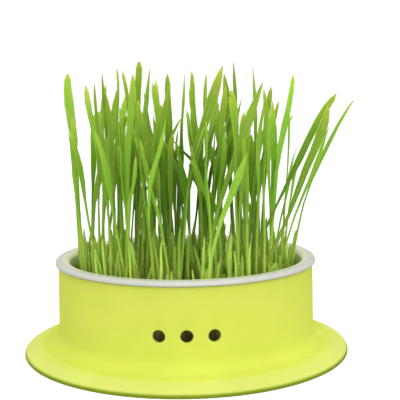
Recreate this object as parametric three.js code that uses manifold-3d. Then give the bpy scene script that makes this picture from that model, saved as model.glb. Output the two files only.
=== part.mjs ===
// Wheatgrass pot: young wheat growing in a white tray that hangs in a lime-green plastic pot with a wide brim.
// Millimetres, +Z up. The origin is on the pot's axis, on the surface that the pot stands on.
import * as THREE from 'three';
import { mergeVertices } from 'three/addons/utils/BufferGeometryUtils.js';
import Module from 'manifold-3d';

// ---- driving dimensions ------------------------------------------------------------------------
const POT_RADIUS = 75; // outside of the wall at its top
const POT_HEIGHT = 53.2; // top edge of the wall, under the tray's flange
const POT_WALL = 1.8; // wall thickness at the top
const POT_FLOOR = 2.5;
const WALL_SPREAD = 0.8; // how much wider the wall is at its foot
const BRIM_RADIUS = 95.9;
const BRIM_CREASE = [85, 6.3]; // where the level top of the brim turns down into its outer cone
const BRIM_SKIN = 2; // thickness of the brim
const LIP_HEIGHT = 3.1; // where the cone rounds over into the lip
const LIP_WIDTH = 3.5;
const ROUND_SIDES = 48;

const VENT_RADIUS = 3.4; // three round holes through the front of the wall
const VENT_HEIGHT = 26;
const VENT_SPACING = 14.6; // measured round the wall
const VENT_COUNT = 3;

const FIT_GAP = 0.3; // clear gap between pieces that rest on each other
const TRAY_RADIUS = 68.4; // inside of the tray at its top
const TRAY_WALL = 1.5;
const TRAY_TOP = 55.1; // crown of the flange
const TRAY_FLOOR = 31.8; // upper face of the tray's floor
const FLANGE_RADIUS = 76.75;
const FLANGE_DROP = 52.2; // lower edge of the flange's turned-down lip
const DRAIN_RADIUS = 2.5;
const DRAIN_RINGS = [[4, 18], [8, 42]]; // number of holes, and the radius of their ring

const SOIL_TOP = 39;
const SOIL_RADIUS = 66.4;
const SOIL_SIDES = 36;
const TUFT_RINGS = [1, 6, 11, 18]; // number of clumps in each ring, from the middle outwards
const RING_STEP = 18.8;
const CLUMP_RADIUS = 8.4;
const CLUMP_SIDES = 8;
const CLUMP_FOOT = 33.8;
const CLUMP_CROWN = 40.6;
const PIT_GAP = 0.35;

const GRASS_SEED = 58380;
const ROOT_HEIGHT = 38.2; // stalks start this high, inside their clump
const STALK_SHARE = 0.42; // a stalk's width as a share of its blade's
const STALK_THICKNESS = 1.6;
const BLADE_THICKNESS = 0.8;
const TIP_THICKNESS = 0.65;
const TUFT_CLEARANCE = 0.45; // least gap left between the leaves of two tufts
const LEAF_CLEARANCE = 0.1; // and between the leaves of one

const COLOURS = { lime: 0xd3e45a, white: 0xe4e6da, soil: 0x4a3a28, grass: [0x86b23c, 0x7aa83a, 0x93bd48] };

// ---- the hand-placed plants --------------------------------------------------------------------
// Plants that give the stand its outline. Each line: root x, y; tip x, y, z; blade width; the direction
// that the blade's width runs in, in degrees from +X; and bend, from 0 for straight to 1 for late leaning.
const OUTLINE_PLANTS = [
  [-62.5, 2, -67.2, 3, 162.5, 4.6, 0, 0.3],
  [-60.5, -5, -65.5, -3, 138, 4.4, 0, 0.2],
  [-50, -16, -64.5, -13, 131, 3.4, 20, 0.2],
  [-38, -30, -54.1, -27, 155, 3.8, 10, 0.5],
  [-43, 24, -48.5, 26, 164, 3.4, 25, 0.2],
  [-40, -4, -38.6, -2, 166, 2.6, 40, 0.6],
  [-30, 40, -38, 42, 165, 3.2, 15, 0.6],
  [-33, -44, -27.1, -42, 161, 4, 5, 0.4],
  [-24, 12, -26.9, 13, 169.5, 4.2, 0, 0.1],
  [-35, 6, -18.7, 8, 166, 3, 20, 0.3],
  [-7, -56, -25, -50, 127, 2.8, -15, 0.4],
  [-17, -22, -14.7, -23, 158, 3.2, 30, 0.5],
  [-12, 8, -8.4, 10, 162.5, 5, 5, 0.3],
  [-4, 50, 1.5, 53, 163.5, 2.6, 60, 0.5],
  [11, 26, 4.5, 28, 164, 3.6, 10, 0.5],
  [13, 0, 13, 3, 162, 2.8, 40, 0.2],
  [-9, -34, 21.5, -31, 165, 5.6, 8, 0.35],
  [30, 14, 25, 17, 162, 4.8, 0, 0.3],
  [34, 38, 31.6, 41, 170, 3, 55, 0.4],
  [44, -2, 40, 0, 166, 2.8, 35, 0.7],
  [4, -48, 43.6, -40, 156, 5, 10, 0.3],
  [7, -62, 33, -58, 119, 4.2, 5, 0.3],
  [45, 22, 52.9, 24, 154, 4.2, 5, 0.2],
  [43, -22, 62, -18, 160, 4.4, 15, 0.45],
  [59, 10, 65, 13, 140, 2.8, 50, 0.4],
  [30, -23, 84.8, -24, 149.5, 4.6, 12, 0.1],
  [32, -34, 78.5, -38, 143, 5.2, 0, -0.25],
  [50, -12, 84, -14, 131, 2.8, 20, 0.1],
  [64, -6, 100, -4, 145.5, 2.8, 10, 0.75],
  [56, 30, 72, 34, 117, 2.8, 30, 0.4],
  [60, 20, 70, 21, 111, 2.6, 45, 0.3],
];

// ---- small helpers -----------------------------------------------------------------------------
function randomSource(seed) {
  let state = seed;
  return () => {
    state = (Math.imul(state, 1664525) + 1013904223) >>> 0;
    return state / 4294967296;
  };
}

function lathe(profile, sides = ROUND_SIDES) {
  const points = profile.map(([radius, height]) => new THREE.Vector2(radius, height));
  return new THREE.LatheGeometry(points, sides).rotateX(Math.PI / 2);
}

const wasm = await Module();
wasm.setup();

function toSolid(geometry) {
  const bare = geometry.clone();
  bare.deleteAttribute('normal');
  bare.deleteAttribute('uv');
  const merged = mergeVertices(bare, 1e-4);
  return new wasm.Manifold(new wasm.Mesh({
    numProp: 3,
    vertProperties: new Float32Array(merged.attributes.position.array),
    triVerts: new Uint32Array(merged.index.array),
  }));
}

function toGeometry(solid) {
  const mesh = solid.getMesh();
  const geometry = new THREE.BufferGeometry();
  geometry.setAttribute('position', new THREE.BufferAttribute(new Float32Array(mesh.vertProperties), 3));
  geometry.setIndex(new THREE.BufferAttribute(new Uint32Array(mesh.triVerts), 1));
  return geometry;
}

function namedMesh(name, geometry, color, roughness) {
  const shaded = geometry.index ? geometry.toNonIndexed() : geometry;
  shaded.computeVertexNormals();
  const mesh = new THREE.Mesh(shaded, new THREE.MeshStandardMaterial({ color, roughness, metalness: 0 }));
  mesh.name = name;
  return mesh;
}

// ---- outer pot ---------------------------------------------------------------------------------
// One closed profile: up the outside from the brim's lip, over the rim, down the inside, and back
// under the floor and the hollow brim.
function outerPot() {
  const foot = POT_RADIUS + WALL_SPREAD;
  const inside = POT_RADIUS - POT_WALL;
  const [creaseRadius, creaseHeight] = BRIM_CREASE;
  const lip = BRIM_RADIUS - LIP_WIDTH;
  const hollow = new THREE.QuadraticBezierCurve(
    new THREE.Vector2(foot - 0.2, 14), new THREE.Vector2(foot + 1, 6.4), new THREE.Vector2(...BRIM_CREASE));
  const topOfBrim = hollow.getPoints(4).reverse().map((point) => [point.x, point.y]);
  const solid = toSolid(lathe([
    [0, 0], [foot - 1.4, 0], [foot - 0.6, 0.8], [foot - 0.6, 2.8], [foot + 1, 4.3],
    [creaseRadius - 0.4, creaseHeight - BRIM_SKIN - 0.1], [lip - 0.4, LIP_HEIGHT - BRIM_SKIN], [lip + 0.4, 0],
    [BRIM_RADIUS - 0.5, 0], [BRIM_RADIUS, 0.6], [BRIM_RADIUS - 0.4, 1.6], [BRIM_RADIUS - 1.6, 2.5],
    [lip, LIP_HEIGHT], ...topOfBrim,
    [POT_RADIUS, POT_HEIGHT - 0.5], [POT_RADIUS - 0.5, POT_HEIGHT], [inside, POT_HEIGHT],
    [inside - 0.7, POT_FLOOR + 2.5], [inside - 2.6, POT_FLOOR], [0, POT_FLOOR],
  ]));
  let pierced = solid;
  const turn = VENT_SPACING / POT_RADIUS;
  for (let k = 0; k < VENT_COUNT; k += 1) {
    const vent = new THREE.CylinderGeometry(VENT_RADIUS, VENT_RADIUS, 12, 16); // its axis lies along Y
    vent.translate(0, -POT_RADIUS, VENT_HEIGHT).rotateZ((k - (VENT_COUNT - 1) / 2) * turn);
    pierced = pierced.subtract(toSolid(vent));
  }
  return namedMesh('outer_pot', toGeometry(pierced), COLOURS.lime, 0.35);
}

// ---- tray --------------------------------------------------------------------------------------
// The flange's underside lies over the pot's edge, and its turned-down lip passes just outside it.
function tray() {
  const under = POT_HEIGHT + FIT_GAP;
  const lipInside = POT_RADIUS + FIT_GAP + 0.1;
  const base = TRAY_FLOOR - TRAY_WALL;
  let solid = toSolid(lathe([
    [0, base], [TRAY_RADIUS - 2.6, base], [TRAY_RADIUS - 0.6, base + 2], [TRAY_RADIUS + TRAY_WALL, under - 0.8],
    [TRAY_RADIUS + TRAY_WALL + 0.8, under], [lipInside, under], [lipInside, FLANGE_DROP],
    [FLANGE_RADIUS - 0.3, FLANGE_DROP], [FLANGE_RADIUS, FLANGE_DROP + 1.1], [FLANGE_RADIUS - 0.5, TRAY_TOP - 0.7],
    [FLANGE_RADIUS - 1.8, TRAY_TOP], [TRAY_RADIUS + 2, TRAY_TOP], [TRAY_RADIUS + 0.5, TRAY_TOP - 0.5],
    [TRAY_RADIUS - 0.1, TRAY_TOP - 1.7], [TRAY_RADIUS - 2, TRAY_FLOOR + 1.6], [TRAY_RADIUS - 3.8, TRAY_FLOOR],
    [0, TRAY_FLOOR],
  ]));
  for (const [count, ring] of DRAIN_RINGS) {
    for (let k = 0; k < count; k += 1) {
      const drain = new THREE.CylinderGeometry(DRAIN_RADIUS, DRAIN_RADIUS, 4 * TRAY_WALL, 6).rotateX(Math.PI / 2);
      drain.translate(ring, 0, TRAY_FLOOR - TRAY_WALL / 2).rotateZ((k / count) * 2 * Math.PI);
      solid = solid.subtract(toSolid(drain));
    }
  }
  return namedMesh('liner', toGeometry(solid), COLOURS.white, 0.4);
}

// ---- soil --------------------------------------------------------------------------------------
// Clumps of seed and root stand in plain pits, in rings that cover the bed evenly.
function tuftCentres() {
  return TUFT_RINGS.flatMap((count, ring) => Array.from({ length: count }, (_, k) => {
    const angle = (k / count) * 2 * Math.PI;
    return [ring * RING_STEP * Math.cos(angle), ring * RING_STEP * Math.sin(angle)];
  }));
}

function soilBed(centres) {
  const bottom = TRAY_FLOOR + FIT_GAP;
  let solid = toSolid(lathe([
    [0, bottom], [SOIL_RADIUS - 2.4, bottom], [SOIL_RADIUS - 0.4, bottom + 1.8],
    [SOIL_RADIUS, SOIL_TOP - 0.8], [SOIL_RADIUS - 0.8, SOIL_TOP], [0, SOIL_TOP],
  ], SOIL_SIDES));
  for (const [x, y] of centres) {
    const radius = CLUMP_RADIUS + PIT_GAP;
    const pit = new THREE.CylinderGeometry(radius, radius, 12, CLUMP_SIDES).rotateX(Math.PI / 2);
    pit.translate(x, y, CLUMP_FOOT - FIT_GAP + 6);
    solid = solid.subtract(toSolid(pit));
  }
  return namedMesh('soil', toGeometry(solid), COLOURS.soil, 0.95);
}

// ---- grass -------------------------------------------------------------------------------------
// A stalk or blade follows a cubic curve. Its stations give, along the curve, the width as a share of the
// blade's full width, and the thickness.
const PLANT_STATIONS = [
  [0, STALK_SHARE, STALK_THICKNESS], [0.42, STALK_SHARE, 1.4], [0.7, 1, BLADE_THICKNESS],
  [0.88, 0.7, TIP_THICKNESS], [1, 0, 0],
];
const SIDE_STATIONS = [[0, 0.4, 1.2], [0.38, 1, BLADE_THICKNESS], [0.74, 0.82, TIP_THICKNESS], [1, 0, 0]];
const SHOOT_STATIONS = [[0, 1, 1.8], [0.6, 0.85, 1.5], [1, 0, 0]];

function curveBetween(root, tip, bend) {
  const from = new THREE.Vector3(...root);
  const to = new THREE.Vector3(...tip);
  const reach = to.clone().sub(from);
  const early = 0.35 * (1 - bend);
  const late = 0.72 - 0.42 * bend;
  return new THREE.CubicBezierCurve3(
    from,
    new THREE.Vector3(from.x + reach.x * early, from.y + reach.y * early, from.z + reach.z * 0.36),
    new THREE.Vector3(from.x + reach.x * late, from.y + reach.y * late, from.z + reach.z * 0.74),
    to,
  );
}

// The side blade leaves its plant's curve at a share of its length, along the stalk, then swings away.
function sideCurve(plant, share, tip) {
  const from = plant.curve.getPoint(share);
  const to = new THREE.Vector3(...tip);
  const along = plant.curve.getTangent(share).multiplyScalar(from.distanceTo(to) * 0.32);
  const first = from.clone().add(along);
  return new THREE.CubicBezierCurve3(from, first, first.clone().lerp(to, 0.5), to);
}

// The blade's width direction at a point of its curve, square to the curve and turning along it.
function widthDirection(leaf, share, tangent) {
  const angle = leaf.facing + leaf.twist * share;
  const across = new THREE.Vector3(Math.cos(angle), Math.sin(angle), 0);
  return across.addScaledVector(tangent, -across.dot(tangent)).normalize();
}

function bladeGeometry(leaf) {
  const positions = [];
  const index = [];
  const rings = leaf.stations.length - 1;
  leaf.stations.slice(0, rings).forEach(([share, widthShare, thickness]) => {
    const centre = leaf.curve.getPoint(share);
    const tangent = leaf.curve.getTangent(share);
    const across = widthDirection(leaf, share, tangent).multiplyScalar((leaf.width * widthShare) / 2);
    const out = across.clone().cross(tangent).normalize().multiplyScalar(thickness / 2);
    for (const corner of [across, out, across.clone().negate(), out.clone().negate()]) {
      positions.push(...centre.clone().add(corner).toArray());
    }
  });
  positions.push(...leaf.curve.getPoint(1).toArray());
  for (let ring = 0; ring < rings; ring += 1) {
    for (let side = 0; side < 4; side += 1) {
      const [a, b] = [ring * 4 + side, ring * 4 + ((side + 1) % 4)];
      if (ring === rings - 1) index.push(a, rings * 4, b);
      else index.push(a, a + 4, b, b, a + 4, b + 4);
    }
  }
  index.push(0, 1, 2, 0, 2, 3);
  const geometry = new THREE.BufferGeometry();
  geometry.setAttribute('position', new THREE.Float32BufferAttribute(positions, 3));
  geometry.setIndex(index);
  return geometry;
}

// ---- keeping stalks apart ----------------------------------------------------------------------
// Each leaf is cut by level planes. Where it meets a plane it leaves a short line, across its width. The
// lines of two leaves stay half the sum of their thicknesses apart on every plane, and a clearance more.
const LEVEL_LOW = 40;
const LEVEL_STEP = 1.5;
const LEVEL_COUNT = 90;
const CURVE_STEPS = 40;

function stationAt(stations, share) {
  let k = 1;
  while (stations[k][0] < share) k += 1;
  const [from, widthFrom, thicknessFrom] = stations[k - 1];
  const [to, widthTo, thicknessTo] = stations[k];
  const part = (share - from) / (to - from);
  return [widthFrom + (widthTo - widthFrom) * part, thicknessFrom + (thicknessTo - thicknessFrom) * part];
}

function sectionLines(leaf) {
  const lines = new Array(LEVEL_COUNT).fill(null);
  let last = leaf.curve.getPoint(0);
  for (let step = 1; step <= CURVE_STEPS; step += 1) {
    const point = leaf.curve.getPoint(step / CURVE_STEPS);
    const first = Math.max(0, Math.ceil((last.z - LEVEL_LOW) / LEVEL_STEP));
    for (let level = first; level < LEVEL_COUNT && LEVEL_LOW + level * LEVEL_STEP < point.z; level += 1) {
      const part = (LEVEL_LOW + level * LEVEL_STEP - last.z) / (point.z - last.z);
      const share = (step - 1 + part) / CURVE_STEPS;
      const middle = last.clone().lerp(point, part);
      const [widthShare, thickness] = stationAt(leaf.stations, share);
      const across = widthDirection(leaf, share, leaf.curve.getTangent(share));
      const [x, y] = [across.x * leaf.width * widthShare * 0.5, across.y * leaf.width * widthShare * 0.5];
      lines[level] = [middle.x - x, middle.y - y, middle.x + x, middle.y + y, thickness];
    }
    last = point;
  }
  return lines;
}

function pointToLine(px, py, [ax, ay, bx, by]) {
  const [dx, dy] = [bx - ax, by - ay];
  const along = ((px - ax) * dx + (py - ay) * dy) / (dx * dx + dy * dy + 1e-9);
  const t = Math.min(1, Math.max(0, along));
  return Math.hypot(px - ax - t * dx, py - ay - t * dy);
}

function side(ax, ay, bx, by, px, py) {
  return (bx - ax) * (py - ay) - (by - ay) * (px - ax);
}

function linesGap(a, b) {
  const [ax, ay, bx, by] = a;
  const [cx, cy, dx, dy] = b;
  const apart = side(ax, ay, bx, by, cx, cy) * side(ax, ay, bx, by, dx, dy);
  const astride = side(cx, cy, dx, dy, ax, ay) * side(cx, cy, dx, dy, bx, by);
  if (apart < 0 && astride < 0) return 0;
  return Math.min(pointToLine(ax, ay, b), pointToLine(bx, by, b), pointToLine(cx, cy, a), pointToLine(dx, dy, a));
}

function isClear(lines, tuft, grown, parent) {
  for (let level = 0; level < LEVEL_COUNT; level += 1) {
    const line = lines[level];
    if (!line) continue;
    const inTray = LEVEL_LOW + level * LEVEL_STEP < TRAY_TOP + 1;
    const furthest = Math.max(Math.hypot(line[0], line[1]), Math.hypot(line[2], line[3]));
    if (inTray && furthest > TRAY_RADIUS - 2.2) return false;
    for (const other of grown) {
      const otherLine = other.lines[level];
      if (other === parent || !otherLine) continue;
      const clearance = other.tuft === tuft ? LEAF_CLEARANCE : TUFT_CLEARANCE;
      if (linesGap(line, otherLine) < (line[4] + otherLine[4]) / 2 + clearance) return false;
    }
  }
  return true;
}

// ---- growing the stand -------------------------------------------------------------------------
const TRIES = 30;
const PLANTS_PER_TUFT = 3;
const SHOOTS_PER_TUFT = 1;
const STAND_RADIUS = 65; // grown tips stay about this near the axis

function nearestTuft(centres, x, y) {
  let best = 0;
  centres.forEach(([cx, cy], k) => {
    if (Math.hypot(x - cx, y - cy) < Math.hypot(x - centres[best][0], y - centres[best][1])) best = k;
  });
  return best;
}

// A root is drawn in to where its clump can hold it.
function heldRoot([cx, cy], x, y) {
  const far = Math.hypot(x - cx, y - cy);
  const pull = Math.min(1, (CLUMP_RADIUS - 1.6) / Math.max(far, 1e-6));
  return [cx + (x - cx) * pull, cy + (y - cy) * pull, ROOT_HEIGHT];
}

function growGrass(centres) {
  const random = randomSource(GRASS_SEED);
  const between = (low, high) => low + (high - low) * random();
  const grown = [];
  const add = (leaf) => {
    leaf.lines = sectionLines(leaf);
    grown.push(leaf);
  };

  for (const [x, y, tipX, tipY, tipZ, width, facing, bend] of OUTLINE_PLANTS) {
    const tuft = nearestTuft(centres, x, y);
    const curve = curveBetween(heldRoot(centres[tuft], x, y), [tipX, tipY, tipZ], bend);
    add({
      tuft, curve, stations: PLANT_STATIONS, width, facing: (facing * Math.PI) / 180, twist: 0, outline: true,
    });
  }

  // A leaf is drawn again until it stands clear of the other tufts, and left out if it never does.
  const tryToGrow = (draw, parent = null) => {
    for (let attempt = 0; attempt < TRIES; attempt += 1) {
      const leaf = draw();
      leaf.lines = sectionLines(leaf);
      if (isClear(leaf.lines, leaf.tuft, grown, parent)) {
        grown.push(leaf);
        return leaf;
      }
    }
    return null;
  };

  const drawnIn = (x, y, z) => {
    const pull = Math.min(1, between(STAND_RADIUS - 3, STAND_RADIUS + 3) / Math.hypot(x, y));
    return [x * pull, y * pull, z];
  };

  const rootIn = (tuft) => {
    const radius = (CLUMP_RADIUS - 1.6) * Math.sqrt(random());
    const angle = between(0, 2 * Math.PI);
    const [cx, cy] = centres[tuft];
    return [cx + radius * Math.cos(angle), cy + radius * Math.sin(angle), ROOT_HEIGHT];
  };

  for (let round = 0; round < PLANTS_PER_TUFT; round += 1) {
    for (let tuft = 0; tuft < centres.length; tuft += 1) {
      if (round < grown.filter((leaf) => leaf.tuft === tuft && leaf.outline).length) continue;
      const plant = tryToGrow(() => {
        const root = rootIn(tuft);
        const rise = between(84, 120);
        const lean = rise * 0.2 * Math.sqrt(random());
        const towards = between(0, 2 * Math.PI);
        const tip = drawnIn(
          root[0] * 1.05 + lean * Math.cos(towards), root[1] * 1.05 + lean * Math.sin(towards), ROOT_HEIGHT + rise);
        return {
          tuft, curve: curveBetween(root, tip, between(0.1, 0.9)), stations: PLANT_STATIONS,
          width: between(2.8, 4.8), facing: between(-1.1, 1.1), twist: between(-0.8, 0.8),
        };
      });
      if (!plant || random() < 0.5) continue;
      tryToGrow(() => {
        const share = between(0.28, 0.5);
        const from = plant.curve.getPoint(share);
        const swing = between(9, 26);
        const towards = between(0, 2 * Math.PI);
        const tip = drawnIn(
          from.x + swing * Math.cos(towards), from.y + swing * Math.sin(towards), from.z + between(34, 62));
        return {
          tuft, curve: sideCurve(plant, share, tip), stations: SIDE_STATIONS,
          width: between(1.8, 3.2), facing: plant.facing + between(-0.6, 0.6), twist: between(-0.8, 0.8),
        };
      }, plant);
    }
  }

  for (let round = 0; round < SHOOTS_PER_TUFT; round += 1) {
    for (let tuft = 0; tuft < centres.length; tuft += 1) {
      tryToGrow(() => {
        const root = rootIn(tuft);
        const tip = [root[0] + between(-4, 4), root[1] + between(-4, 4), ROOT_HEIGHT + between(12, 38)];
        return {
          tuft, curve: curveBetween(root, tip, between(0, 0.8)), stations: SHOOT_STATIONS,
          width: between(1.9, 2.6), facing: between(-1.5, 1.5), twist: 0,
        };
      });
    }
  }
  return grown;
}

function tuftMesh(number, [x, y], leaves) {
  const clump = lathe([
    [0, CLUMP_FOOT], [CLUMP_RADIUS, CLUMP_FOOT], [CLUMP_RADIUS - 1, CLUMP_CROWN], [0, CLUMP_CROWN],
  ], CLUMP_SIDES).translate(x, y, 0);
  const solid = leaves.reduce((whole, leaf) => whole.add(toSolid(bladeGeometry(leaf))), toSolid(clump));
  const name = `grass_tuft_${String(number + 1).padStart(2, '0')}`;
  return namedMesh(name, toGeometry(solid), COLOURS.grass[number % COLOURS.grass.length], 0.55);
}

// ---- the whole pot -----------------------------------------------------------------------------
const centres = tuftCentres();
const grown = growGrass(centres);
const pot = new THREE.Group();
pot.add(outerPot(), tray(), soilBed(centres));
centres.forEach((centre, number) => {
  pot.add(tuftMesh(number, centre, grown.filter((leaf) => leaf.tuft === number)));
});

export default pot;
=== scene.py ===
# %% [markdown]
# # A pot of wheatgrass
# A kitchen pot for growing young wheat: a lime-green plastic pot with a wide brim, a white tray that hangs in it,
# a bed of soil, and a dense stand of wheat leaves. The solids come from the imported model, which is loaded first
# and never changed. Each piece below stands for one of those solids, and adds what the eye looks for.

# %% Load the fixed frame
import math
import random
from dataclasses import dataclass

import bmesh
import bpy
import numpy as np
from mathutils import Matrix, Vector, noise


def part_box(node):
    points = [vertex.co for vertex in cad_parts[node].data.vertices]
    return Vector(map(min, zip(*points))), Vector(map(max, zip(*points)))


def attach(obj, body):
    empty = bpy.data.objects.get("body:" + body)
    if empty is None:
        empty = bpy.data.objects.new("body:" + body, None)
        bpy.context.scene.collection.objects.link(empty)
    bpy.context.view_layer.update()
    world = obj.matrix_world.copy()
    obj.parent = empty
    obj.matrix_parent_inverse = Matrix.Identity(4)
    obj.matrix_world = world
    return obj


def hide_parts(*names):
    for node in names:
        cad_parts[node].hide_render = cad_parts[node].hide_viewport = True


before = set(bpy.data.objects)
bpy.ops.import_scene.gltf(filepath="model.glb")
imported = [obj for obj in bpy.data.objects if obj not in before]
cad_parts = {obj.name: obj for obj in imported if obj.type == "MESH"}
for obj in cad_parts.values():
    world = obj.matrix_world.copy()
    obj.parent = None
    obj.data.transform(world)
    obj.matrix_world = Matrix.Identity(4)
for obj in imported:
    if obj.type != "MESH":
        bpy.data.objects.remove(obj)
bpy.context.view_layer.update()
MM = 0.001

# %% [markdown]
# ## The camera
# The pot is seen from a little above, from half a metre away, through a long lens that keeps the round rim true. The
# camera is turned a degree to the right, which puts the pot left of the middle.

# %% Camera
def link_object(name, data):
    thing = bpy.data.objects.new(name, data)
    bpy.context.scene.collection.objects.link(thing)
    return thing


CAMERA_PLACE = (0, -0.508, 0.149)
CAMERA_PITCH = 0.120  # radians below the horizon
CAMERA_TURN = -0.01764  # to the right
CAMERA_ROLL = -0.012
CAMERA_LENS = 77.75  # millimetres, in front of a sensor 36 mm wide
camera = link_object("camera", bpy.data.cameras.new("camera"))
camera.data.lens = CAMERA_LENS
camera.data.sensor_width = 36
turned_right = Matrix.Rotation(CAMERA_TURN, 4, "Z")
pitched_down = Matrix.Rotation(math.pi / 2 - CAMERA_PITCH, 4, "X")
rolled = Matrix.Rotation(CAMERA_ROLL, 4, "Z")
camera.matrix_world = Matrix.Translation(CAMERA_PLACE) @ turned_right @ pitched_down @ rolled
bpy.context.scene.camera = camera

# %% [markdown]
# ## Wiring materials
# Every finish is a small network of nodes. Each helper adds one kind of node, fills its inputs, and gives back the
# output that the next node needs.

# %% Node helpers
def add_node(tree, kind, inputs=None, **settings):
    """Adds a node. An input is given as a number, a colour, or another node's output."""
    made = tree.nodes.new(kind)
    for name, value in settings.items():
        setattr(made, name, value)
    for name, value in (inputs or {}).items():
        if isinstance(value, bpy.types.NodeSocket):
            tree.links.new(value, made.inputs[name])
        else:
            made.inputs[name].default_value = value
    return made


def add_math(tree, operation, first, second=0.0, third=0.0):
    return add_node(tree, "ShaderNodeMath", {0: first, 1: second, 2: third}, operation=operation).outputs[0]


def add_product(tree, first, *others):
    """All the factors multiplied, one Math node for each after the first."""
    for factor in others:
        first = add_math(tree, "MULTIPLY", first, factor)
    return first


def add_mix(tree, share, first, second):
    """A mix of two colours."""
    return add_node(tree, "ShaderNodeMix", {0: share, 6: first, 7: second}, data_type="RGBA").outputs[2]


def add_range(tree, value, low, high, new_low=0.0, new_high=1.0):
    """A smooth step from new_low to new_high as value goes from low to high."""
    inputs = {"Value": value, "From Min": low, "From Max": high, "To Min": new_low, "To Max": new_high}
    return add_node(tree, "ShaderNodeMapRange", inputs, interpolation_type="SMOOTHSTEP").outputs[0]


def add_noise(tree, place, scale, detail=2.0, roughness=0.5):
    inputs = {"Vector": place, "Scale": scale, "Detail": detail, "Roughness": roughness}
    return add_node(tree, "ShaderNodeTexNoise", inputs).outputs["Fac"]


def add_cells(tree, place, scale, feature="F1"):
    """How far a point is from the nearest cell's centre or, where feature says so, from its edge."""
    inputs = {"Vector": place, "Scale": scale}
    return add_node(tree, "ShaderNodeTexVoronoi", inputs, feature=feature).outputs["Distance"]


def add_scaled(tree, colour, factor):
    """A colour made darker or lighter."""
    return add_node(tree, "ShaderNodeVectorMath", {0: colour, "Scale": factor}, operation="SCALE").outputs[0]


def add_bump(tree, height, strength, distance):
    inputs = {"Height": height, "Strength": strength, "Distance": distance}
    return add_node(tree, "ShaderNodeBump", inputs).outputs[0]


def add_axes(tree, x, y, z=0.0):
    return add_node(tree, "ShaderNodeCombineXYZ", {0: x, 1: y, 2: z}).outputs[0]


def axes_of(tree, place):
    split = add_node(tree, "ShaderNodeSeparateXYZ", {0: place})
    return [split.outputs[axis] for axis in "XYZ"]


def object_place(tree):
    return add_node(tree, "ShaderNodeTexCoord").outputs["Object"]


def new_material(name, **values):
    """A material with one Principled shader. The values are the same all over, so they sit on its own sockets."""
    material = bpy.data.materials.new(name)
    material.use_nodes = True
    for socket, value in values.items():
        material.node_tree.nodes["Principled BSDF"].inputs[socket.replace("_", " ")].default_value = value
    return material, material.node_tree


def connect(tree, outputs):
    """Links outputs to the material's shader, by the names of its sockets."""
    for name, output in outputs.items():
        tree.links.new(output, tree.nodes["Principled BSDF"].inputs[name])


# %% [markdown]
# ## Moulded plastic
# Both plastic pieces come out of a mould. Up close such a skin is never even: the colour drifts a little where the
# plastic cooled at different speeds, the surface has a faint orange peel, and handling leaves dull rubbed patches.
# Both materials use this effect, so it is a node group.

# %% Plastic group
RUBBED_WHITE = (0.95, 0.95, 0.88, 1)


def moulded_plastic_group():
    group = bpy.data.node_groups.new("moulded plastic", "ShaderNodeTree")
    for name, kind in (("Colour", "Color"), ("Dullness", "Float")):
        group.interface.new_socket(name, in_out="INPUT", socket_type="NodeSocket" + kind)
    for name, kind in (("Colour", "Color"), ("Roughness", "Float"), ("Height", "Float")):
        group.interface.new_socket(name, in_out="OUTPUT", socket_type="NodeSocket" + kind)
    given = group.nodes.new("NodeGroupInput").outputs
    result = group.nodes.new("NodeGroupOutput").inputs
    place = object_place(group)
    shade = add_range(group, add_noise(group, place, 22.0, 3.0), 0.3, 0.7, 0.965, 1.02)
    rubbed = add_range(group, add_noise(group, place, 90.0, 6.0, 0.62), 0.52, 0.72)
    drifted = add_scaled(group, given["Colour"], shade)
    pale = add_mix(group, add_product(group, rubbed, 0.015), drifted, RUBBED_WHITE)
    group.links.new(pale, result["Colour"])
    group.links.new(add_math(group, "MULTIPLY_ADD", rubbed, 0.06, given["Dullness"]), result["Roughness"])
    group.links.new(add_noise(group, place, 1500.0), result["Height"])
    return group


PLASTIC_SKIN = moulded_plastic_group()


def plastic(name, dullness, **values):
    """Moulded plastic. It gives back the tree, and the group's socket that takes the colour."""
    material, tree = new_material(name, **values)
    skin = add_node(tree, "ShaderNodeGroup", node_tree=PLASTIC_SKIN)
    skin.inputs["Dullness"].default_value = dullness
    connect(tree, {"Base Color": skin.outputs["Colour"], "Roughness": skin.outputs["Roughness"],
                   "Normal": add_bump(tree, skin.outputs["Height"], 0.12, 0.0001)})
    return material, tree, skin.inputs["Colour"]


def round_place(tree):
    """Where a point is on a round piece: its X, Y and Z, and how far it is from the axis."""
    x, y, z = axes_of(tree, object_place(tree))
    squares = add_math(tree, "ADD", add_math(tree, "POWER", x, 2.0), add_math(tree, "POWER", y, 2.0))
    return x, y, z, add_math(tree, "POWER", squares, 0.5)


# %% [markdown]
# The lime pot isn't one colour, and some of its colour is painted light. The outer band of its brim is painted paler,
# as a painted highlight, and the lip below the band is painted darker, as painted shade. The pot's inner wall and
# floor glow faintly, painted light that shows through the vents. Where a colour begins and ends is measured in metres
# from the axis or from the ground, so it goes all the way round.

# %% Lime plastic
LIME_BODY = (0.665, 0.755, 0.101, 1)
LIME_BAND_HIGHLIGHT = (0.705, 0.765, 0.235, 1)
LIME_LIP_SHADE = (0.19, 0.265, 0.012, 1)
LIME_PAINTED_GLOW = (0.75, 0.70, 0.22, 1)


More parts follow.
